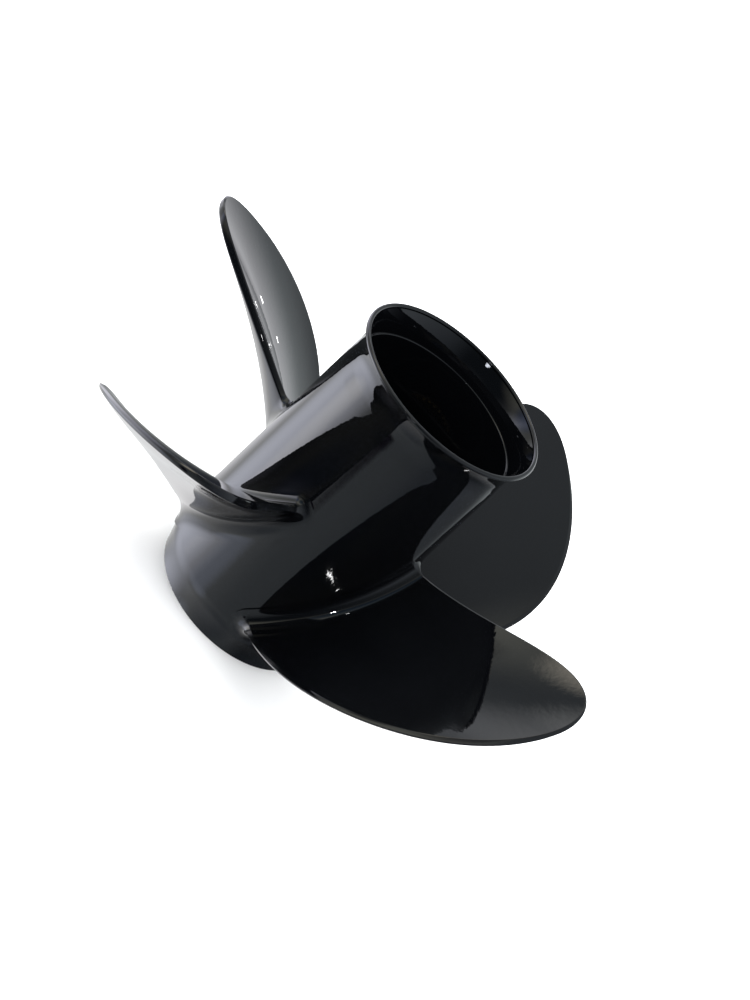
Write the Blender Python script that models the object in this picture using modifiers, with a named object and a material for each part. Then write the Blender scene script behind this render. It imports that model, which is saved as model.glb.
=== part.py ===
"""Four-blade through-hub-exhaust boat propeller.

Units are metres. +Z runs along the shaft towards the stern, and the origin is the
centre of the barrel's forward rim, which is the face that the propeller stands on.
Blade 1 has its generator line on +X.
"""
import math

import bmesh
import bpy

# Driving dimensions of the blades.
BLADE_COUNT = 4
TIP_RADIUS = 0.165
ROOT_RADIUS = 0.0514
PITCH = 0.397
ROOT_STATION = 0.0739          # height of the generator line at the barrel
RAKE_SLOPE = 0.365             # how far the generator leans aft for each metre outwards
TIP_CURL = 0.0035              # extra lean of the tip
TIP_SWEEP = 0.0175             # shift of the tip towards the trailing edge
LEADING_WIDTHS = (0.0640, 0.0475, 0.0431)    # root, linear and square terms
TRAILING_WIDTHS = (0.0262, 0.0067, 0.0499)
LEADING_THICKNESS = 0.0019     # of the blunt leading edge
TRAILING_THICKNESSES = (0.0032, 0.0048)      # of the blunt trailing edge, root and outer end
TIP_EDGE_THICKNESS = 0.0030
ROOT_THICKNESS = 0.0100
TIP_THICKNESS = 0.0035
THICKNESS_FADE = 0.63
TIP_FADE = 8                   # power by which the sections change to the tip's
BACK_FULLNESS = 0.8
TIP_ROUNDING = 0.025           # last share of the span, where the thickness runs out
FILLET_RADIUS = 0.0080
BLADE_BURIAL = 0.0100          # how far the loft starts inside the barrel

# Driving dimensions of the barrel, the outer exhaust tube.
BARREL_LENGTH = 0.1733
NOSE_RADIUS = 0.0484
SHOULDER_RADIUS = 0.0528
SHOULDER_HEIGHT = 0.0175
NECK_RADIUS = 0.0501
NECK_HEIGHT = 0.1495
RIM_RADIUS = 0.0545
RIM_LIP = 0.0013               # radius of the rounded lip
BORE_RADIUS = 0.0470
MOUTH_DEPTH = 0.0157           # from the aft rim to the ring where the bore starts
FRONT_BORE_RADIUS = 0.0452
FRONT_BORE_DEPTH = 0.0100
EDGE_BREAK = 0.0006

# Driving dimensions of what carries the shaft.
HUB_RADIUS = 0.0320
HUB_WALL = 0.0045
HUB_FRONT = 0.0160
HUB_BACK = 0.1220
HUB_LIP_FRONT = 0.0940
HUB_LIP_THICKNESS = 0.0050
HUB_LIP_BORE = 0.0210
RIB_THICKNESS = 0.0060
RIB_FRONT = 0.0190
RIB_BACK = 0.1080
BUSHING_FRONT = 0.0260
SLEEVE_RADIUS = 0.0155
SLEEVE_BORE = 0.0122
SLEEVE_FRONT = 0.0200
SLEEVE_BACK = 0.1060

# Fit and fineness.
GAP = 0.0003
BARREL_STEPS = 64
HUB_STEPS = 48
SPAN_STEPS = 13
CHORD_STEPS = 10
FILLET_STEPS = 4


def clear_scene():
    for item in list(bpy.data.objects):
        bpy.data.objects.remove(item, do_unlink=True)


def make_collection(name):
    collection = bpy.data.collections.new(name)
    bpy.context.scene.collection.children.link(collection)
    return collection


def make_material(name, colour, roughness, metallic):
    material = bpy.data.materials.new(name)
    material.use_nodes = True
    shader = material.node_tree.nodes["Principled BSDF"]
    shader.inputs["Base Color"].default_value = (*colour, 1.0)
    shader.inputs["Roughness"].default_value = roughness
    shader.inputs["Metallic"].default_value = metallic
    return material


def black_paint(name):
    return make_material(name, (0.006, 0.0065, 0.0075), 0.08, 0.0)


def black_rubber(name):
    return make_material(name, (0.02, 0.02, 0.02), 0.75, 0.0)


def drawn_brass(name):
    return make_material(name, (0.55, 0.42, 0.18), 0.3, 1.0)


def add_object(name, mesh, material, collection):
    part = bpy.data.objects.new(name, mesh)
    part.data.materials.append(material)
    collection.objects.link(part)
    return part


def arc(centre_x, centre_z, radius, start, end, steps):
    """Points on a circle in the XZ plane, with the angles in degrees."""
    points = []
    for index in range(steps + 1):
        angle = math.radians(start + (end - start) * index / steps)
        points.append((centre_x + radius * math.cos(angle), centre_z + radius * math.sin(angle)))
    return points


def turned_mesh(name, profile):
    """A closed profile of (radius, height) points, running down its outer side."""
    mesh = bpy.data.meshes.new(name)
    corners = [(radius, 0.0, height) for radius, height in profile]
    edges = [(index, (index + 1) % len(corners)) for index in range(len(corners))]
    mesh.from_pydata(corners, edges, [])
    return mesh


def add_turned(name, profile, steps, material, collection):
    part = add_object(name, turned_mesh(name, profile), material, collection)
    screw = part.modifiers.new("Screw", "SCREW")
    screw.axis = "Z"
    screw.angle = math.tau
    screw.steps = steps
    screw.render_steps = steps
    screw.use_merge_vertices = True
    screw.merge_threshold = 0.00001
    screw.use_smooth_shade = True
    return part


def outer_side(extra=0.0):
    """The barrel's outside from the neck, down its taper and over the nose cone to the forward rim."""
    return [
        (NECK_RADIUS + extra, NECK_HEIGHT),
        (SHOULDER_RADIUS + extra, SHOULDER_HEIGHT),
        (NOSE_RADIUS + extra, 0.0),
    ]


def barrel_profile():
    lip_height = BARREL_LENGTH - RIM_LIP
    lip = arc(RIM_RADIUS - RIM_LIP, lip_height, RIM_LIP, 180, -30, 6)
    nose_inside = [
        (NOSE_RADIUS - EDGE_BREAK, 0.0),
        (FRONT_BORE_RADIUS + EDGE_BREAK, 0.0),
        (FRONT_BORE_RADIUS, EDGE_BREAK),
        (FRONT_BORE_RADIUS, FRONT_BORE_DEPTH),
        (BORE_RADIUS, FRONT_BORE_DEPTH + BORE_RADIUS - FRONT_BORE_RADIUS),
        (BORE_RADIUS, BARREL_LENGTH - MOUTH_DEPTH),
    ]
    flank = outer_side()
    flank[-1] = (NOSE_RADIUS, EDGE_BREAK)
    return lip + flank + nose_inside


def hub_profile():
    inner = HUB_RADIUS - HUB_WALL
    lip_back = HUB_LIP_FRONT + HUB_LIP_THICKNESS
    return [
        (inner + EDGE_BREAK, HUB_BACK),
        (HUB_RADIUS - EDGE_BREAK, HUB_BACK),
        (HUB_RADIUS, HUB_BACK - EDGE_BREAK),
        (HUB_RADIUS, HUB_FRONT + EDGE_BREAK),
        (HUB_RADIUS - EDGE_BREAK, HUB_FRONT),
        (inner + EDGE_BREAK, HUB_FRONT),
        (inner, HUB_FRONT + EDGE_BREAK),
        (inner, HUB_LIP_FRONT),
        (HUB_LIP_BORE, HUB_LIP_FRONT),
        (HUB_LIP_BORE, lip_back),
        (inner, lip_back),
        (inner, HUB_BACK - EDGE_BREAK),
    ]


def tube_profile(outer, inner, front, back, edge):
    return [
        (inner + edge, back),
        (outer - edge, back),
        (outer, back - edge),
        (outer, front + edge),
        (outer - edge, front),
        (inner + edge, front),
        (inner, front + edge),
        (inner, back - edge),
    ]


def add_rib(number, material, collection):
    """A flat web that joins the inner hub to the barrel."""
    inner = HUB_RADIUS + GAP
    outer = math.sqrt((BORE_RADIUS - GAP) ** 2 - (RIB_THICKNESS / 2) ** 2) - GAP / 4
    mesh = bpy.data.meshes.new(f"rib_{number}")
    cage = bmesh.new()
    bmesh.ops.create_cube(cage, size=1.0)
    size = (outer - inner, RIB_THICKNESS, RIB_BACK - RIB_FRONT)
    middle = ((outer + inner) / 2, 0.0, (RIB_BACK + RIB_FRONT) / 2)
    bmesh.ops.scale(cage, vec=size, verts=cage.verts)
    bmesh.ops.translate(cage, vec=middle, verts=cage.verts)
    cage.to_mesh(mesh)
    cage.free()
    rib = add_object(f"rib_{number}", mesh, material, collection)
    quarter = math.tau / BLADE_COUNT
    rib.rotation_euler[2] = quarter * (number - 0.5)
    bevel = rib.modifiers.new("Bevel", "BEVEL")
    bevel.width = RIB_THICKNESS * 0.3
    bevel.segments = 1
    return rib


def quadratic(terms, share):
    return terms[0] + terms[1] * share + terms[2] * share ** 2


def blade_edges(share):
    """Distances along the helix to the leading and trailing edge, at a share of the span."""
    width = math.sqrt(max(0.0, 1.0 - share ** 2))
    sweep = TIP_SWEEP * share ** 2
    leading = sweep - quadratic(LEADING_WIDTHS, share) * width
    trailing = sweep + quadratic(TRAILING_WIDTHS, share) * width
    return leading, trailing


def blade_thickness(step, share):
    """Thickness at a step across the chord: what the edges have, and the swell between them."""
    at_root, at_end = TRAILING_THICKNESSES
    trailing = at_root + (at_end - at_root) * share
    edges = LEADING_THICKNESS + (trailing - LEADING_THICKNESS) * step ** 2
    middle = ROOT_THICKNESS * (1.0 - share) ** THICKNESS_FADE + TIP_THICKNESS * share
    swell = (middle - LEADING_THICKNESS) * (4.0 * step * (1.0 - step)) ** BACK_FULLNESS
    fade = share ** TIP_FADE
    return (edges + swell) * (1.0 - fade) + TIP_EDGE_THICKNESS * fade


def tip_factor(share):
    """Runs from 1 to 0 over the last part of the span, so that the tip closes round."""
    past = max(0.0, share - 1.0 + TIP_ROUNDING) / TIP_ROUNDING
    return math.sqrt(max(0.0, 1.0 - past ** 2))


def flat_section(share):
    """Outline of a section laid flat, as (along the helix, towards the suction side)."""
    leading, trailing = blade_edges(share)
    chord = trailing - leading
    steps = [0.5 - 0.5 * math.cos(math.pi * index / CHORD_STEPS) for index in range(CHORD_STEPS + 1)]
    face = []
    back = []
    for step in steps:
        along = leading + chord * step
        depth = blade_thickness(step, share)
        drop = 0.5 * depth * (1.0 - tip_factor(share))
        face.append((along, drop))
        back.append((along, depth - drop))
    return face + back[::-1]


def widened(outline, distance):
    """The outline moved outwards by a distance, for the fillet at the root."""
    moved = []
    for index, (along, offset) in enumerate(outline):
        before = outline[index - 1]
        after = outline[(index + 1) % len(outline)]
        run = (after[0] - before[0], after[1] - before[1])
        length = math.hypot(*run)
        moved.append((along + distance * run[1] / length, offset - distance * run[0] / length))
    return moved


def wrapped(along, offset, share):
    """Angle and height of a flat section's point once the section lies on its helix."""
    radius = ROOT_RADIUS + (TIP_RADIUS - ROOT_RADIUS) * share
    slope = math.atan2(PITCH, math.tau * radius)
    station = ROOT_STATION + RAKE_SLOPE * (radius - ROOT_RADIUS) + TIP_CURL * share ** 2
    height = station + along * math.sin(slope) - offset * math.cos(slope)
    turn = (along * math.cos(slope) + offset * math.sin(slope)) / radius
    return turn, height


def barrel_radius(height):
    """Radius of the barrel's straight, tapered side."""
    share = (height - SHOULDER_HEIGHT) / (NECK_HEIGHT - SHOULDER_HEIGHT)
    return SHOULDER_RADIUS + (NECK_RADIUS - SHOULDER_RADIUS) * share


def root_ring(rise, distance):
    """A ring of the fillet, at a rise above the barrel's side."""
    share = max(0.0, rise) / (TIP_RADIUS - ROOT_RADIUS)
    ring = []
    for along, offset in widened(flat_section(share), distance):
        turn, height = wrapped(along, offset, share)
        radius = barrel_radius(height) + rise
        ring.append((radius * math.cos(turn), radius * math.sin(turn), height))
    return ring


def span_ring(share):
    """A ring of the blade above its fillet, on a cylinder about the shaft."""
    radius = ROOT_RADIUS + (TIP_RADIUS - ROOT_RADIUS) * share
    ring = []
    for along, offset in flat_section(share):
        turn, height = wrapped(along, offset, share)
        ring.append((radius * math.cos(turn), radius * math.sin(turn), height))
    return ring


def blade_rings():
    """From inside the barrel, up the fillet and out to the last ring before the tip."""
    rings = [root_ring(-BLADE_BURIAL, FILLET_RADIUS)]
    for index in range(FILLET_STEPS + 1):
        angle = 0.5 * math.pi * (1.0 - index / FILLET_STEPS)
        rise = FILLET_RADIUS * (1.0 - math.sin(angle))
        rings.append(root_ring(rise, FILLET_RADIUS * (1.0 - math.cos(angle))))
    start = math.asin(2.0 * FILLET_RADIUS / (TIP_RADIUS - ROOT_RADIUS))
    for index in range(SPAN_STEPS):
        angle = start + (0.5 * math.pi - start) * index / SPAN_STEPS
        rings.append(span_ring(math.sin(angle)))
    return rings


def blade_mesh():
    """A loft through the rings, closed at the rounded tip."""
    cage = bmesh.new()
    rings = [[cage.verts.new(point) for point in ring] for ring in blade_rings()]
    turn, height = wrapped(TIP_SWEEP, 0.5 * TIP_EDGE_THICKNESS, 1.0)
    tip = cage.verts.new((TIP_RADIUS * math.cos(turn), TIP_RADIUS * math.sin(turn), height))
    count = len(rings[0])
    for index in range(count // 2 - 1):
        across = count - 1 - index
        cage.faces.new((rings[0][index], rings[0][across], rings[0][across - 1], rings[0][index + 1]))
    for lower, upper in zip(rings, rings[1:]):
        for index in range(count):
            following = (index + 1) % count
            cage.faces.new((lower[index], lower[following], upper[following], upper[index]))
    for index in range(count):
        cage.faces.new((rings[-1][index], rings[-1][(index + 1) % count], tip))
    bmesh.ops.recalc_face_normals(cage, faces=cage.faces)
    mesh = bpy.data.meshes.new("blade")
    cage.to_mesh(mesh)
    cage.free()
    return mesh


def add_blade(number, mesh, cutter, material, collection):
    blade = bpy.data.objects.new(f"blade_{number}", mesh.copy())
    blade.data.materials.append(material)
    blade.data.shade_smooth()
    blade.data.set_sharp_from_angle(angle=math.radians(40))
    collection.objects.link(blade)
    blade.rotation_euler[2] = math.tau / BLADE_COUNT * (number - 1)
    trim = blade.modifiers.new("Trim", "BOOLEAN")
    trim.operation = "DIFFERENCE"
    trim.object = cutter
    return blade


def add_root_cutter(material, collection):
    """The barrel's outside, larger by the gap, which trims each blade's root."""
    flank = outer_side(GAP)
    top = flank[0][1]
    bottom = flank[-1][1]
    core = ROOT_RADIUS * 0.5
    profile = [(core, top)] + flank + [(core, bottom)]
    cutter = add_turned("root_cutter", profile, BARREL_STEPS, material, collection)
    cutter.hide_render = True
    cutter.display_type = "WIRE"
    return cutter


def build():
    clear_scene()
    parts = make_collection("boat_propeller")
    cutters = make_collection("cutters")
    paint = black_paint("gloss_black_paint")
    add_turned("barrel", barrel_profile(), BARREL_STEPS, black_paint("barrel_paint"), parts)
    cutter = add_root_cutter(paint, cutters)
    mesh = blade_mesh()
    for number in range(1, BLADE_COUNT + 1):
        add_blade(number, mesh, cutter, black_paint(f"blade_{number}_paint"), parts)
        add_rib(number, black_paint(f"rib_{number}_paint"), parts)
    add_turned("inner_hub", hub_profile(), HUB_STEPS, black_paint("hub_paint"), parts)
    bushing = tube_profile(HUB_RADIUS - HUB_WALL - GAP, SLEEVE_RADIUS + GAP,
                           BUSHING_FRONT, HUB_LIP_FRONT - GAP, 2 * EDGE_BREAK)
    add_turned("rubber_bushing", bushing, HUB_STEPS, black_rubber("bushing_rubber"), parts)
    sleeve = tube_profile(SLEEVE_RADIUS, SLEEVE_BORE, SLEEVE_FRONT, SLEEVE_BACK, EDGE_BREAK)
    add_turned("splined_sleeve", sleeve, HUB_STEPS, drawn_brass("sleeve_brass"), parts)


build()
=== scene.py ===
import math

import bmesh
import bpy
from mathutils import Matrix, Vector


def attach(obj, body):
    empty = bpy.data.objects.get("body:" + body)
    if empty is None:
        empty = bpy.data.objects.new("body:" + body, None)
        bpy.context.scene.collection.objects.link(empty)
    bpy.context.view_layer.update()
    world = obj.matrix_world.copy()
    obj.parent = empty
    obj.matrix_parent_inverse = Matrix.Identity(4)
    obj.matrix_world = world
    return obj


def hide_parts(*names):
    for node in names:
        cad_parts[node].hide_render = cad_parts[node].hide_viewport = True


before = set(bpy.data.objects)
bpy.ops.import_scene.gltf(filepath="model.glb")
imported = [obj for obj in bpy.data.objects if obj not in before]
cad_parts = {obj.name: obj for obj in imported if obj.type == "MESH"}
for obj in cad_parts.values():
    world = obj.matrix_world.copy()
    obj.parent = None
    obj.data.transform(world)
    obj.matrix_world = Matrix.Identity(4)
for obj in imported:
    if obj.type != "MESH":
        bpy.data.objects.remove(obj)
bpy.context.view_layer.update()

# Driving dimensions of the blades, in metres. Three widths are the terms of a quadratic in the share
# of the span, and a pair of sizes is at the root and at the tip.
BLADE_COUNT = 4
TIP_RADIUS = 0.165
ROOT_RADIUS = 0.0514
PITCH = 0.397
ROOT_STATION = 0.0739
RAKE_SLOPE = 0.365
TIP_CURL = 0.0035
TIP_SWEEP = 0.0175
LEADING_WIDTHS = (0.0640, 0.0475, 0.0431)
TRAILING_WIDTHS = (0.0262, 0.0067, 0.0499)
LEADING_THICKNESS = 0.0019
TRAILING_THICKNESSES = (0.0032, 0.0048)
TIP_EDGE_THICKNESS = 0.0030
ROOT_THICKNESS = 0.0100
TIP_THICKNESS = 0.0035
THICKNESS_FADE = 0.63
TIP_FADE = 8
BACK_FULLNESS = 0.8
FILLET_RADIUS = 0.0080
SPAN = TIP_RADIUS - ROOT_RADIUS

# The finer form of the blades' edges: a bevel towards the pressure face and a rounding towards the
# suction face. The shares are of the edge's thickness, of the bevel's width and of its drop.
EDGE_ROUNDING = 0.0007
BEVEL_WIDTHS = (0.0020, 0.0032)
TIP_BEVEL_WIDTH = 0.0016
TRAILING_BEVEL_WIDTH = 0.0007
BEVEL_SHARE = 0.45
STEEPEST_BEVEL = 0.8
OUTER_SOFTNESS = 0.2
INNER_SOFTNESS = 0.5

# How the blades meet the barrel: the root's depth in its wall, the skirt around the fillet that lies
# just under the surface, and the reach above the fillet over which the barrel's taper still counts.
ROOT_DEPTH = 0.0015
SKIRT_WIDTH = 0.0012
SKIRT_DEPTH = 0.00003
TAPER_REACH = 4.0 * FILLET_RADIUS

# Driving dimensions of the barrel. Its side tapers straight from the shoulder towards the neck and
# ends in a waist. The waist and the flare's foot and end are (radius, height), and the lip's arc and
# the mouth's lean are in degrees.
BARREL_LENGTH = 0.1733
NOSE_RADIUS = 0.0484
SHOULDER_RADIUS = 0.0528
SHOULDER_HEIGHT = 0.0175
NECK_RADIUS = 0.0501
NECK_HEIGHT = 0.1495
TAPER_END = 0.1485
WAIST = (0.0497, 0.1565)
FLARE_FOOT = (0.0500, 0.1640)
FLARE_END = (0.0527, 0.1702)
FLARE_END_BEND = 0.001
FLARE_BEND = 0.020
WAIST_BEND = 0.030
TAPER_BEND = 0.100
SHOULDER_BEND = 0.030
RIM_RADIUS = 0.0545
RIM_LIP = 0.0013
LIP_ARC = (205, -60)
BORE_RADIUS = 0.0470
MOUTH_DEPTH = 0.0157
MOUTH_LEAN = 25.0
RING_WIDTH = 0.0009
RING_DEPTH = 0.0040
RING_ROUNDING = 0.0005
FRONT_BORE_RADIUS = 0.0452
FRONT_BORE_DEPTH = 0.0100
FRONT_ROUNDING = 0.0008
STEP_ROUNDING = 0.0015

# Driving dimensions of what carries the shaft.
HUB_RADIUS = 0.0320
HUB_WALL = 0.0045
HUB_FRONT = 0.0160
HUB_BACK = 0.1220
HUB_LIP_FRONT = 0.0940
HUB_LIP_THICKNESS = 0.0050
HUB_LIP_BORE = 0.0210
RIB_THICKNESS = 0.0060
RIB_FRONT = 0.0190
RIB_BACK = 0.1080
RIB_START = HUB_RADIUS - 0.0008
RIB_END = BORE_RADIUS + 0.0006
RIB_FILLET = 0.0035
RIB_FILLET_SHARE = 0.7
RIB_ROUNDING = 0.0018
BUSHING_FRONT = 0.0260
BUSHING_DISH = 0.0015
SLEEVE_RADIUS = 0.0155
SLEEVE_BORE = 0.0122
SLEEVE_FRONT = 0.0200
SLEEVE_BACK = 0.1060
SLEEVE_CHAMFER = 0.0008
ROOT_CHAMFER_SHARE = 0.4
SPLINE_TEETH = 15
SPLINE_DEPTH = 0.0012

# The studio's soft glows and dark cards: azimuth, elevation and width in degrees, then the light,
# which is less than nought for a card that shades the glows behind it.
STUDIO_GLOWS = {
    "window": (-148, -20, 41, (2.45, 2.52, 2.92)),
    "window_side": (-104, -39, 17, (0.57, 0.66, 0.95)),
    "low_left": (-174, -43, 89, (1.05, 1.05, 1.05)),
    "low_front": (-63, -39, 51, (0.45, 0.49, 0.52)),
    "high_left": (-132, 48, 46, (1.25, 1.23, 1.02)),
    "right": (14, 1, 61, (0.26, 0.29, 0.34)),
    "behind": (86, -3, 28, (0.59, 0.64, 0.64)),
    "corner": (108, -11.5, 24.5, (0.52, 0.50, 0.52)),
    "dark_card": (120.5, -21.5, 15, (-0.91, -0.92, -0.93)),
    "wall": (143.5, 35.5, 14, (0.99, 0.99, 1.01)),
    "beam": (152.5, 41.5, 6.5, (0.66, 0.66, 0.64)),
    "warm_lamp": (162, 54, 9.5, (2.98, 2.69, 2.20)),
    "warm_ceiling": (139, 50.5, 7.5, (1.76, 1.64, 1.50)),
    "ceiling": (84, 50, 102, (0.42, 0.45, 0.47)),
    "dark_west": (-142, 22, 21.5, (-0.71, -0.61, -0.24)),
    "dark_sill": (-156, -6, 22, (-1.77, -1.80, -2.13)),
    "dark_beam": (-108.5, 50.5, 24.5, (-1.06, -0.98, -0.71)),
    "dark_floor": (-72.5, -21.5, 10, (-0.47, -0.53, -0.55)),
    "window_core": (-143, -17.5, 18, (1.62, 1.54, 1.35)),
    "floor_west": (-158, -45, 34, (0.51, 0.55, 0.73)),
    "floor_north": (119.5, -60, 24, (0.52, 0.50, 0.51)),
    "low_wall": (153, -8, 28, (0.85, 0.83, 1.02)),
    "dark_below": (-64.5, -63, 24.5, (-0.38, -0.39, -0.38)),
    "dark_top": (169.5, 65.5, 16, (-0.53, -0.56, -0.50)),
    "west_wall": (166, 15.5, 20.5, (1.04, 1.03, 1.30)),
    "dark_shelf": (-175, 42.5, 8.5, (-0.65, -0.67, -0.59)),
}
DIM_LIGHT = (0.04, 0.05, 0.06)
BACKDROP = (0.95, 0.95, 0.95)
FLOOR_SIZE = 60.0
OVERHEAD_STRENGTH = 7.0
OVERHEAD_SOFTNESS = 150.0

# The small lamps: place, target, width and height, radiance, colour and the light's cone in degrees.
WHITE = (1.0, 1.0, 1.0)
COOL = (0.86, 0.90, 1.0)
LAMPS = {
    "front_lamp": ((0.172, -0.765, 0.706), (0.058, -0.018, 0.061), (0.050, 0.010), 800.0, WHITE, 10.0),
    "low_lamp": ((0.361, -0.785, 0.572), (-0.024, 0.046, 0.170), (0.110, 0.060), 25.0, COOL, 10.0),
    "edge_lamp": ((0.396, -0.628, 0.746), (-0.082, -0.027, 0.106), (0.018, 0.018), 60.0, WHITE, 10.0),
    "back_lamp_1": ((-0.356, 0.540, 0.035), (-0.116, -0.006, 0.102), (0.008, 0.008), 15.0, WHITE, 14.0),
    "back_lamp_2": ((-0.297, 0.582, 0.053), (-0.105, 0.015, 0.086), (0.008, 0.008), 15.0, WHITE, 14.0),
}

# The camera's viewpoint: astern of the propeller and to one side, rolled so that the shaft points
# up and to the right. The lens and the sensor are in millimetres.
CAMERA_PLACE = (0.44367, -0.75665, 0.59383)
CAMERA_FORWARD = (-0.42959, 0.75751, -0.49156)
CAMERA_UP = (-0.80122, -0.06864, 0.59443)
LENS_LENGTH = 96.47
SENSOR_WIDTH = 36.0

# Fineness of the meshes.
BARREL_STEPS = 256
HUB_STEPS = 128
SPAN_STEPS = 56
FACE_STEPS = 30
EDGE_STEPS = 6
FILLET_STEPS = 14
LIP_STEPS = 16
MOUTH_STEPS = 9
RIB_STEPS = 24


def new_object(name, mesh, material):
    """Puts a mesh into the scene as an object with one material."""
    piece = bpy.data.objects.new(name, mesh)
    piece.data.materials.append(material)
    bpy.context.scene.collection.objects.link(piece)
    return piece


def pointing(azimuth, elevation):
    """Unit vector towards an azimuth from +X and an elevation, both in degrees."""
    turn = math.radians(azimuth)
    rise = math.radians(elevation)
    return Vector((math.cos(rise) * math.cos(turn), math.cos(rise) * math.sin(turn), math.sin(rise)))


def arc(centre_x, centre_z, radius, start, end, steps):
    """Points on a circle in the XZ plane, with the angles in degrees."""
    points = []
    for index in range(steps + 1):
        angle = math.radians(start + (end - start) * index / steps)
        points.append((centre_x + radius * math.cos(angle), centre_z + radius * math.sin(angle)))
    return points


def bend(before, corner, after, radius, steps=8):
    """The corner of a profile, rounded to a radius with its arc's own points."""
    here = Vector(corner)
    back = (Vector(before) - here).normalized()
    ahead = (Vector(after) - here).normalized()
    half = 0.5 * back.angle(ahead)
    reach = radius / math.tan(half)
    centre = here + (back + ahead).normalized() * (radius / math.sin(half))
    start = here + back * reach - centre
    end = here + ahead * reach - centre
    sweep = start.angle_signed(end)
    points = []
    for index in range(steps + 1):
        turn = Matrix.Rotation(-sweep * index / steps, 2)
        points.append(tuple(centre + turn @ start))
    return points


def rounded(corners):
    """A closed profile from (radius, height, rounding) corners."""
    points = []
    for index, (radius, height, rounding) in enumerate(corners):
        before = corners[index - 1][:2]
        after = corners[(index + 1) % len(corners)][:2]
        if rounding:
            points += bend(before, (radius, height), after, rounding)
        else:
            points.append((radius, height))
    return points


def loft(cage, rings, close=False):
    """Joins rings of points into a tube, with the last one joined to the first on request."""
    rows = [[cage.verts.new(point) for point in ring] for ring in rings]
    pairs = list(zip(rows, rows[1:]))
    if close:
        pairs.append((rows[-1], rows[0]))
    for lower, upper in pairs:
        for index in range(len(lower)):
            following = (index + 1) % len(lower)
            cage.faces.new((lower[index], lower[following], upper[following], upper[index]))
    return rows


def finished(cage, name, sharp):
    """The cage as a smooth mesh whose edges stay sharp above an angle in degrees."""
    bmesh.ops.recalc_face_normals(cage, faces=cage.faces)
    mesh = bpy.data.meshes.new(name)
    cage.to_mesh(mesh)
    cage.free()
    mesh.shade_smooth()
    mesh.set_sharp_from_angle(angle=math.radians(sharp))
    return mesh


def turned(name, profile, steps, material):
    """A body of revolution about the shaft from a closed (radius, height) profile."""
    rings = []
    for index in range(steps):
        angle = math.tau * index / steps
        rings.append([(radius * math.cos(angle), radius * math.sin(angle), height)
                      for radius, height in profile])
    cage = bmesh.new()
    loft(cage, rings, close=True)
    return new_object(name, finished(cage, name, 35), material)


def quadratic(terms, share):
    """The value at a share of the span from a quadratic's three terms."""
    return terms[0] + terms[1] * share + terms[2] * share ** 2


def barrel_radius(height):
    """Radius of the barrel's straight, tapered side."""
    share = (height - SHOULDER_HEIGHT) / (NECK_HEIGHT - SHOULDER_HEIGHT)
    return SHOULDER_RADIUS + (NECK_RADIUS - SHOULDER_RADIUS) * share


def barrel_outside(lip_end):
    """From the lip down the flare to the waist, the tapered side, the shoulder and the nose."""
    side = (barrel_radius(TAPER_END), TAPER_END)
    shoulder = (SHOULDER_RADIUS, SHOULDER_HEIGHT)
    nose = (NOSE_RADIUS, 0.0)
    outside = bend(lip_end, FLARE_END, FLARE_FOOT, FLARE_END_BEND, 4)
    outside += bend(FLARE_END, FLARE_FOOT, WAIST, FLARE_BEND, 12)
    outside += bend(FLARE_FOOT, WAIST, side, WAIST_BEND, 8)
    outside += bend(WAIST, side, shoulder, TAPER_BEND, 4)
    outside += bend(side, shoulder, nose, SHOULDER_BEND, 12)
    return outside


def barrel_front():
    """The rim that the propeller stands on and the step of the bore behind it."""
    step_back = FRONT_BORE_DEPTH + BORE_RADIUS - FRONT_BORE_RADIUS
    return rounded([
        (NOSE_RADIUS, 0.0, FRONT_ROUNDING),
        (FRONT_BORE_RADIUS, 0.0, FRONT_ROUNDING),
        (FRONT_BORE_RADIUS, FRONT_BORE_DEPTH, STEP_ROUNDING),
        (BORE_RADIUS, step_back, STEP_ROUNDING),
    ])


def barrel_mouth(lip_start):
    """The ring at the end of the bore and the flare from there to the lip, which opens as a curve."""
    height = BARREL_LENGTH - MOUTH_DEPTH
    below = (BORE_RADIUS, height - RING_DEPTH)
    foot = (BORE_RADIUS + RING_WIDTH, height)
    ring = [below] + bend(below, (BORE_RADIUS, height), foot, RING_ROUNDING, 4)
    knee_height = 0.5 * (height + lip_start[1])
    knee_radius = lip_start[0] - math.tan(math.radians(MOUTH_LEAN)) * (lip_start[1] - knee_height)
    knee = (knee_radius, knee_height)
    flare = []
    for index in range(MOUTH_STEPS):
        step = index / MOUTH_STEPS
        flare.append(tuple((1 - step) ** 2 * a + 2 * step * (1 - step) * b + step ** 2 * c
                           for a, b, c in zip(foot, knee, lip_start)))
    return ring + flare


def barrel_profile():
    """The exhaust tube's wall, around its lip, down the outside and back up the bore."""
    lip = arc(RIM_RADIUS - RIM_LIP, BARREL_LENGTH - RIM_LIP, RIM_LIP, *LIP_ARC, LIP_STEPS)
    return lip + barrel_outside(lip[-1]) + barrel_front() + barrel_mouth(lip[0])


def blade_edges(share):
    """Distances along the helix to the leading and trailing edge, at a share of the span."""
    width = math.sqrt(max(0.0, 1.0 - share ** 2))
    sweep = TIP_SWEEP * share ** 2
    leading = sweep - quadratic(LEADING_WIDTHS, share) * width
    trailing = sweep + quadratic(TRAILING_WIDTHS, share) * width
    return leading, trailing


def blade_thickness(along, share):
    """Thickness at a place on the blade: what the edges have, and the swell between them."""
    start, end = blade_edges(share)
    step = min(1.0, max(0.0, (along - start) / max(1e-6, end - start)))
    at_root, at_end = TRAILING_THICKNESSES
    trailing = at_root + (at_end - at_root) * share
    edges = LEADING_THICKNESS + (trailing - LEADING_THICKNESS) * step ** 2
    middle = ROOT_THICKNESS * (1.0 - share) ** THICKNESS_FADE + TIP_THICKNESS * share
    swell = (middle - LEADING_THICKNESS) * (4.0 * step * (1.0 - step)) ** BACK_FULLNESS
    fade = share ** TIP_FADE
    return (edges + swell) * (1.0 - fade) + TIP_EDGE_THICKNESS * fade


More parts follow.
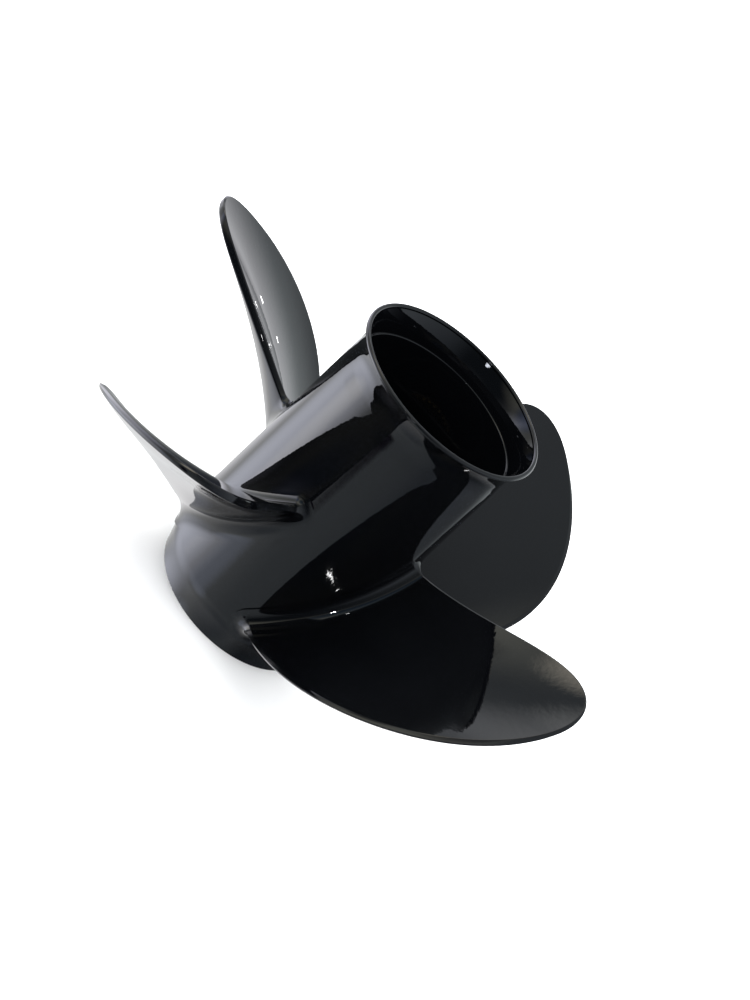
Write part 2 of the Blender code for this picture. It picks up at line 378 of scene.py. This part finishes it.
def inset(angle, side, distance):
    """A place a distance inside the blade's edge, as (along, share).

    The angle runs from nought at the root to a quarter turn at the tip, and its sine is the share
    of the span. The side is 0 for the leading edge and 1 for the trailing edge.
    """
    def edge(at):
        share = math.sin(at)
        return Vector((blade_edges(share)[side], share * SPAN))

    nudge = 0.002
    here = edge(angle)
    if angle > 0.5 * math.pi - 2 * nudge:
        inward = Vector((0.0, -1.0))
    else:
        run = edge(angle + nudge) - edge(max(0.0, angle - nudge))
        inward = Vector((run.y, -run.x)).normalized()
        if side == 1:
            inward.negate()
    place = here + inward * distance
    return place.x, min(1.0, max(0.0, place.y / SPAN))


def bevel_profile(share, side):
    """The bevelled edge in section, as (distance inside the outline, drop from the face)."""
    width = BEVEL_WIDTHS[0] + (BEVEL_WIDTHS[1] - BEVEL_WIDTHS[0]) * share
    fade = share ** (6 * TIP_FADE)
    if side == 1:
        width = TRAILING_BEVEL_WIDTH
        fade = share ** (2 * TIP_FADE)
    width = width * (1.0 - fade) + TIP_BEVEL_WIDTH * fade
    outermost = 0.999
    along = blade_edges(min(share, outermost))[side]
    drop = min(BEVEL_SHARE * blade_thickness(along, share), STEEPEST_BEVEL * width)
    foot = (0.0, drop)
    brow = (width, 0.0)
    outer = bend((0.0, 1.0), foot, brow, OUTER_SOFTNESS * drop, 3)
    return outer + bend(foot, brow, (1.0, 0.0), INNER_SOFTNESS * drop, 3)


def round_profile():
    """The rounded edge in section, as (distance inside the outline, drop from the face)."""
    return arc(EDGE_ROUNDING, EDGE_ROUNDING, EDGE_ROUNDING, 180, 270, EDGE_STEPS)


def ring_outline(angle):
    """One ring of the blade laid flat, as (along, offset, share).

    It starts at the leading edge and runs over the pressure face to the trailing edge and back
    over the suction face.
    """
    bevels = [bevel_profile(math.sin(angle), side) for side in (0, 1)]
    roundings = [round_profile()] * 2
    rows = []
    for profiles in (bevels, roundings):
        edges = []
        for side, profile in enumerate(profiles):
            edges.append([(*inset(angle, side, distance), drop) for distance, drop in profile])
        start = edges[0][-1]
        end = edges[1][-1]
        middle = []
        for index in range(1, FACE_STEPS):
            step = 0.5 - 0.5 * math.cos(math.pi * index / FACE_STEPS)
            along = start[0] + (end[0] - start[0]) * step
            share = start[1] + (end[1] - start[1]) * step
            middle.append((along, share, 0.0))
        rows.append(edges[0] + middle + edges[1][::-1])
    face = [(along, drop, share) for along, share, drop in rows[0]]
    back = [(along, blade_thickness(along, share) - drop, share) for along, share, drop in rows[1]]
    return face + back[::-1]


def widened(outline, distance):
    """The outline moved outwards by a distance, for the fillet at the root."""
    moved = []
    for index, (along, offset, share) in enumerate(outline):
        before = outline[index - 1]
        after = outline[(index + 1) % len(outline)]
        run = (after[0] - before[0], after[1] - before[1])
        length = math.hypot(*run)
        moved.append((along + distance * run[1] / length, offset - distance * run[0] / length, share))
    return moved


def wrapped(along, offset, share, lift=0.0):
    """A point of the flat blade, once it lies on its helix around the shaft."""
    radius = ROOT_RADIUS + SPAN * share
    slope = math.atan2(PITCH, math.tau * radius)
    station = ROOT_STATION + RAKE_SLOPE * SPAN * share + TIP_CURL * share ** 2
    height = station + along * math.sin(slope) - offset * math.cos(slope)
    turn = (along * math.cos(slope) + offset * math.sin(slope)) / radius
    rise = SPAN * share
    fade = min(1.0, max(0.0, (rise - FILLET_RADIUS) / TAPER_REACH))
    fade = fade * fade * (3.0 - 2.0 * fade)
    base = barrel_radius(height) * (1.0 - fade) + ROOT_RADIUS * fade
    reach = base + rise + lift
    return (reach * math.cos(turn), reach * math.sin(turn), height)


def blade_rings():
    """Rings from inside the barrel's wall, up the fillet and out to the tip."""
    foot = widened(ring_outline(0.0), FILLET_RADIUS)
    rings = [[wrapped(*place, lift=-ROOT_DEPTH) for place in foot]]
    skirt = widened(ring_outline(0.0), FILLET_RADIUS + SKIRT_WIDTH)
    rings.append([wrapped(*place, lift=-SKIRT_DEPTH) for place in skirt])
    for index in range(FILLET_STEPS + 1):
        turn = 0.5 * math.pi * (1.0 - index / FILLET_STEPS)
        rise = FILLET_RADIUS * (1.0 - math.sin(turn))
        outline = widened(ring_outline(math.asin(rise / SPAN)), FILLET_RADIUS * (1.0 - math.cos(turn)))
        rings.append([wrapped(*place) for place in outline])
    above_fillet = 1.3 * FILLET_RADIUS
    start = math.asin(above_fillet / SPAN)
    for index in range(SPAN_STEPS + 1):
        angle = start + (0.5 * math.pi - start) * index / SPAN_STEPS
        rings.append([wrapped(*place) for place in ring_outline(angle)])
    return rings


def blade_mesh():
    """One blade with its fillet, closed at the root and drawn together at the tip."""
    cage = bmesh.new()
    rows = loft(cage, blade_rings())
    cage.faces.new(rows[0])
    bmesh.ops.remove_doubles(cage, verts=cage.verts, dist=1e-6)
    return finished(cage, "blade_skin", 60)


def link(tree, source, socket):
    """Feeds a node's output into another node's socket."""
    tree.links.new(source, socket)


def noise(tree, wavelength):
    """Noise in the object's own metres, with features about one wavelength apart."""
    place = tree.nodes.new("ShaderNodeTexCoord")
    node = tree.nodes.new("ShaderNodeTexNoise")
    node.inputs["Scale"].default_value = 1.0 / wavelength
    node.inputs["Detail"].default_value = 2.0
    link(tree, place.outputs["Object"], node.inputs["Vector"])
    return node.outputs["Fac"]


def spread(tree, source, low, high, to_low, to_high):
    """Maps a stretch of a value onto another, smoothly and without going past its ends."""
    node = tree.nodes.new("ShaderNodeMapRange")
    node.interpolation_type = "SMOOTHSTEP"
    node.inputs["From Min"].default_value = low
    node.inputs["From Max"].default_value = high
    node.inputs["To Min"].default_value = to_low
    node.inputs["To Max"].default_value = to_high
    link(tree, source, node.inputs["Value"])
    return node.outputs["Result"]


def blended(tree, factor, first, second):
    """A colour between two, by a factor from nought to one."""
    node = tree.nodes.new("ShaderNodeMix")
    node.data_type = "RGBA"
    node.inputs["A"].default_value = (*first, 1.0)
    node.inputs["B"].default_value = (*second, 1.0)
    link(tree, factor, node.inputs["Factor"])
    return node.outputs["Result"]


def bumped(tree, height, depth, below=None):
    """A normal with relief of a depth in metres, on top of the relief below it where there is one."""
    node = tree.nodes.new("ShaderNodeBump")
    node.inputs["Strength"].default_value = 1.0
    node.inputs["Distance"].default_value = depth
    link(tree, height, node.inputs["Height"])
    if below is not None:
        link(tree, below, node.inputs["Normal"])
    return node.outputs["Normal"]


def specks(tree, spacing, size):
    """One at the middle of scattered cells and nought elsewhere."""
    place = tree.nodes.new("ShaderNodeTexCoord")
    cells = tree.nodes.new("ShaderNodeTexVoronoi")
    cells.inputs["Scale"].default_value = 1.0 / spacing
    link(tree, place.outputs["Object"], cells.inputs["Vector"])
    return spread(tree, cells.outputs["Distance"], 0.0, size / spacing, 1.0, 0.0)


def new_material(name):
    """A new material, with its node tree and its shader."""
    material = bpy.data.materials.new(name)
    material.use_nodes = True
    return material, material.node_tree, material.node_tree.nodes["Principled BSDF"]


def paint_material():
    """Gloss black enamel: faint orange peel over the waves of the casting, with dust in it."""
    material, tree, shader = new_material("gloss_black_paint")
    deep_black = (0.0007, 0.0008, 0.0011)
    soft_black = (0.0015, 0.0017, 0.0022)
    colour = blended(tree, noise(tree, wavelength=0.030), deep_black, soft_black)
    link(tree, colour, shader.inputs["Base Color"])
    roughness = spread(tree, noise(tree, wavelength=0.012), 0.3, 0.7, 0.015, 0.035)
    link(tree, roughness, shader.inputs["Roughness"])
    waves = bumped(tree, noise(tree, wavelength=0.030), depth=0.00006)
    peel = bumped(tree, noise(tree, wavelength=0.0030), depth=0.000020, below=waves)
    dust = bumped(tree, specks(tree, spacing=0.016, size=0.0005), depth=0.00012, below=peel)
    link(tree, dust, shader.inputs["Normal"])
    return material


def rubber_material():
    """Matt black rubber with a fine moulded grain."""
    material, tree, shader = new_material("bushing_rubber")
    colour = blended(tree, noise(tree, wavelength=0.006), (0.012, 0.012, 0.012), (0.024, 0.023, 0.022))
    link(tree, colour, shader.inputs["Base Color"])
    roughness = spread(tree, noise(tree, wavelength=0.002), 0.3, 0.7, 0.6, 0.8)
    link(tree, roughness, shader.inputs["Roughness"])
    grain = bumped(tree, noise(tree, wavelength=0.0009), depth=0.00008)
    link(tree, grain, shader.inputs["Normal"])
    return material


def brass_material():
    """Brass with turning marks around the shaft and a little tarnish."""
    material, tree, shader = new_material("sleeve_brass")
    colour = blended(tree, noise(tree, wavelength=0.008), (0.20, 0.15, 0.07), (0.30, 0.23, 0.11))
    link(tree, colour, shader.inputs["Base Color"])
    shader.inputs["Metallic"].default_value = 1.0
    roughness = spread(tree, noise(tree, wavelength=0.004), 0.3, 0.7, 0.50, 0.65)
    link(tree, roughness, shader.inputs["Roughness"])
    place = tree.nodes.new("ShaderNodeTexCoord")
    marks = tree.nodes.new("ShaderNodeTexWave")
    marks.wave_type = "RINGS"
    marks.rings_direction = "Z"
    marks.inputs["Scale"].default_value = 600.0
    marks.inputs["Distortion"].default_value = 0.5
    link(tree, place.outputs["Object"], marks.inputs["Vector"])
    grooves = bumped(tree, marks.outputs["Fac"], depth=0.00001)
    link(tree, grooves, shader.inputs["Normal"])
    return material


def hub_profile():
    """The tube that holds the bushing, with the lip that the bushing is pressed against."""
    inner = HUB_RADIUS - HUB_WALL
    lip_back = HUB_LIP_FRONT + HUB_LIP_THICKNESS
    return rounded([
        (HUB_RADIUS, HUB_BACK, 0.0015),
        (HUB_RADIUS, HUB_FRONT, 0.0015),
        (inner, HUB_FRONT, 0.0012),
        (inner, HUB_LIP_FRONT, 0.0010),
        (HUB_LIP_BORE, HUB_LIP_FRONT, 0.0008),
        (HUB_LIP_BORE, lip_back, 0.0012),
        (inner, lip_back, 0.0015),
        (inner, HUB_BACK, 0.0015),
    ])


def bushing_profile():
    """The rubber, dished at both ends between the hub and the sleeve."""
    outer = HUB_RADIUS - HUB_WALL
    back = HUB_LIP_FRONT
    middle = 0.5 * (outer + SLEEVE_RADIUS)
    return rounded([
        (outer, back, 0.0006),
        (outer, BUSHING_FRONT, 0.0008),
        (middle, BUSHING_FRONT + BUSHING_DISH, 0.0040),
        (SLEEVE_RADIUS, BUSHING_FRONT, 0.0008),
        (SLEEVE_RADIUS, back, 0.0006),
        (middle, back - BUSHING_DISH, 0.0040),
    ])


def spline_outline(tip, root):
    """The sleeve's bore in section: teeth whose flanks lean a little.

    The corners of a tooth are (share of the teeth's spacing, radius).
    """
    points = []
    corners = ((0.00, root), (0.20, root), (0.40, root), (0.50, tip), (0.70, tip), (0.90, tip))
    for tooth in range(SPLINE_TEETH):
        for share, radius in corners:
            angle = math.tau * (tooth + share) / SPLINE_TEETH
            points.append((radius * math.cos(angle), radius * math.sin(angle)))
    return points


def sleeve_mesh():
    """A brass tube with splines inside and chamfered ends."""
    cage = bmesh.new()
    count = len(spline_outline(SLEEVE_BORE, SLEEVE_BORE + SPLINE_DEPTH))
    circle = [pointing(360.0 * index / count, 0.0) for index in range(count)]
    chamfer = SLEEVE_CHAMFER

    def inside(height, grow):
        tip = SLEEVE_BORE + grow
        root = SLEEVE_BORE + SPLINE_DEPTH + ROOT_CHAMFER_SHARE * grow
        outline = spline_outline(tip, root)
        return [(x, y, height) for x, y in outline]

    def outside(height, shrink):
        radius = SLEEVE_RADIUS - shrink
        return [(radius * x, radius * y, height) for x, y, _ in circle]

    rings = [
        inside(SLEEVE_FRONT + chamfer, 0.0),
        inside(SLEEVE_FRONT, chamfer),
        outside(SLEEVE_FRONT, chamfer),
        outside(SLEEVE_FRONT + chamfer, 0.0),
        outside(SLEEVE_BACK - chamfer, 0.0),
        outside(SLEEVE_BACK, chamfer),
        inside(SLEEVE_BACK, chamfer),
        inside(SLEEVE_BACK - chamfer, 0.0),
    ]
    loft(cage, rings, close=True)
    return finished(cage, "splined_sleeve_skin", 30)


def rib_outline(shrink):
    """A web from the hub to the barrel in section, which flares into fillets at both ends."""
    side = []
    for index in range(RIB_STEPS + 1):
        reach = RIB_START + (RIB_END - RIB_START) * index / RIB_STEPS
        near = max(0.0, RIB_START + RIB_FILLET - reach) / RIB_FILLET
        far = max(0.0, reach - RIB_END + RIB_FILLET) / RIB_FILLET
        bulge = 2.0 - math.sqrt(1.0 - near ** 2) - math.sqrt(1.0 - far ** 2)
        half = 0.5 * RIB_THICKNESS + RIB_FILLET_SHARE * RIB_FILLET * bulge - shrink
        side.append((reach, half))
    return side + [(reach, -half) for reach, half in reversed(side)]


def rib_mesh():
    """A web with rounded front and back edges."""
    cage = bmesh.new()
    rounding = arc(RIB_ROUNDING, RIB_ROUNDING, RIB_ROUNDING, 270, 180, EDGE_STEPS)
    levels = [(shrink, RIB_FRONT + drop) for shrink, drop in rounding]
    levels += [(shrink, RIB_BACK - drop) for shrink, drop in reversed(rounding)]
    rings = [[(x, y, height) for x, y in rib_outline(shrink)] for shrink, height in levels]
    rows = loft(cage, rings)
    cage.faces.new(rows[0])
    cage.faces.new(rows[-1])
    return finished(cage, "rib_skin", 50)


def add_glow(tree, place, below, azimuth, elevation, width, colour):
    """Adds a round soft glow to the surroundings, with its width as an angle from its middle."""
    dot = tree.nodes.new("ShaderNodeVectorMath")
    dot.operation = "DOT_PRODUCT"
    dot.inputs[1].default_value = pointing(azimuth, elevation)
    link(tree, place, dot.inputs[0])
    amount = spread(tree, dot.outputs["Value"], math.cos(math.radians(width)), 1.0, 0.0, 1.0)
    scaled = tree.nodes.new("ShaderNodeVectorMath")
    scaled.operation = "SCALE"
    scaled.inputs[0].default_value = colour
    link(tree, amount, scaled.inputs["Scale"])
    total = tree.nodes.new("ShaderNodeVectorMath")
    total.operation = "ADD"
    link(tree, below, total.inputs[0])
    link(tree, scaled.outputs["Vector"], total.inputs[1])
    return total.outputs["Vector"]


def build_surroundings():
    """A dim studio with soft glows around the propeller, which is what its gloss mirrors."""
    world = bpy.data.worlds.new("studio")
    world.use_nodes = True
    tree = world.node_tree
    place = tree.nodes.new("ShaderNodeTexCoord").outputs["Generated"]
    base = tree.nodes.new("ShaderNodeCombineXYZ")
    for socket, value in zip(base.inputs, DIM_LIGHT):
        socket.default_value = value
    light = base.outputs["Vector"]
    for azimuth, elevation, width, colour in STUDIO_GLOWS.values():
        light = add_glow(tree, place, light, azimuth, elevation, width, colour)
    background = tree.nodes["Background"]
    link(tree, light, background.inputs["Color"])
    pale = tree.nodes.new("ShaderNodeBackground")
    pale.inputs["Color"].default_value = (*BACKDROP, 1.0)
    path = tree.nodes.new("ShaderNodeLightPath")
    choice = tree.nodes.new("ShaderNodeMixShader")
    link(tree, path.outputs["Is Camera Ray"], choice.inputs["Fac"])
    link(tree, background.outputs["Background"], choice.inputs[1])
    link(tree, pale.outputs["Background"], choice.inputs[2])
    link(tree, choice.outputs["Shader"], tree.nodes["World Output"].inputs["Surface"])
    bpy.context.scene.world = world


def add_lamp(name, place, target, sizes, radiance, colour, cone):
    """A soft oval lamp that only shows as a reflection in the gloss, in a cone of light of its own."""
    light = bpy.data.lights.new(name, "AREA")
    light.shape = "ELLIPSE"
    light.size, light.size_y = sizes
    light.spread = math.radians(cone)
    light.color = colour
    half = 0.5 * light.spread
    area = 0.25 * math.pi * sizes[0] * sizes[1]
    light.energy = radiance * (1.0 - half / math.tan(half)) * math.pi * area
    lamp = bpy.data.objects.new(name, light)
    lamp.location = place
    lamp.rotation_euler = (Vector(target) - Vector(place)).to_track_quat("-Z", "Y").to_euler()
    lamp.visible_camera = False
    lamp.visible_diffuse = False
    bpy.context.scene.collection.objects.link(lamp)


def add_overhead_light():
    """Very soft light from above, for the floor."""
    light = bpy.data.lights.new("overhead", "SUN")
    light.energy = OVERHEAD_STRENGTH
    light.angle = math.radians(OVERHEAD_SOFTNESS)
    lamp = bpy.data.objects.new("overhead", light)
    lamp.visible_glossy = False
    bpy.context.scene.collection.objects.link(lamp)


def add_camera():
    """The camera, squared up from its forward and up directions."""
    data = bpy.data.cameras.new("camera")
    data.sensor_fit = "HORIZONTAL"
    data.sensor_width = SENSOR_WIDTH
    data.lens = LENS_LENGTH
    camera = bpy.data.objects.new("camera", data)
    bpy.context.scene.collection.objects.link(camera)
    forward = Vector(CAMERA_FORWARD).normalized()
    right = forward.cross(Vector(CAMERA_UP)).normalized()
    up = right.cross(forward)
    basis = Matrix((right, up, -forward)).transposed().to_4x4()
    camera.matrix_world = Matrix.Translation(Vector(CAMERA_PLACE)) @ basis
    bpy.context.scene.camera = camera


def build_floor():
    """A plain pale floor, far wider than the view."""
    cage = bmesh.new()
    bmesh.ops.create_grid(cage, x_segments=8, y_segments=8, size=0.5 * FLOOR_SIZE)
    mesh = bpy.data.meshes.new("floor")
    cage.to_mesh(mesh)
    cage.free()
    material, tree, shader = new_material("pale_floor")
    colour = blended(tree, noise(tree, wavelength=0.5), (0.90, 0.90, 0.90), (0.93, 0.93, 0.93))
    link(tree, colour, shader.inputs["Base Color"])
    shader.inputs["Roughness"].default_value = 0.7
    shader.inputs["Specular IOR Level"].default_value = 0.0
    floor = new_object("floor", mesh, material)
    floor.visible_glossy = False


def stand_in(piece, node):
    """Puts a piece in a solid's place, on the one body that there is."""
    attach(piece, "root")
    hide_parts(node)


def build_propeller():
    """The casting's pieces in black paint, and the bushing and sleeve that carry the shaft."""
    paint = paint_material()
    barrel = turned("barrel_casting", barrel_profile(), BARREL_STEPS, paint)
    stand_in(barrel, "barrel")
    hub = turned("inner_hub_casting", hub_profile(), HUB_STEPS, paint)
    stand_in(hub, "inner_hub")
    skin = blade_mesh()
    web = rib_mesh()
    quarter = math.tau / BLADE_COUNT
    for number in range(1, BLADE_COUNT + 1):
        blade = new_object(f"blade_casting_{number}", skin.copy(), paint)
        blade.rotation_euler[2] = quarter * (number - 1)
        stand_in(blade, f"blade_{number}")
        rib = new_object(f"rib_casting_{number}", web.copy(), paint)
        rib.rotation_euler[2] = quarter * (number - 0.5)
        stand_in(rib, f"rib_{number}")
    bushing = turned("bushing_moulding", bushing_profile(), HUB_STEPS, rubber_material())
    stand_in(bushing, "rubber_bushing")
    sleeve = new_object("sleeve_turning", sleeve_mesh(), brass_material())
    stand_in(sleeve, "splined_sleeve")


def build_studio():
    """The surroundings, the floor, the lamps and the camera, with colours shown as they are."""
    view = bpy.context.scene.view_settings
    view.view_transform = "Standard"
    view.look = "None"
    build_surroundings()
    build_floor()
    add_overhead_light()
    for name, settings in LAMPS.items():
        add_lamp(name, *settings)
    add_camera()


build_propeller()
build_studio()

bpy.context.view_layer.update()
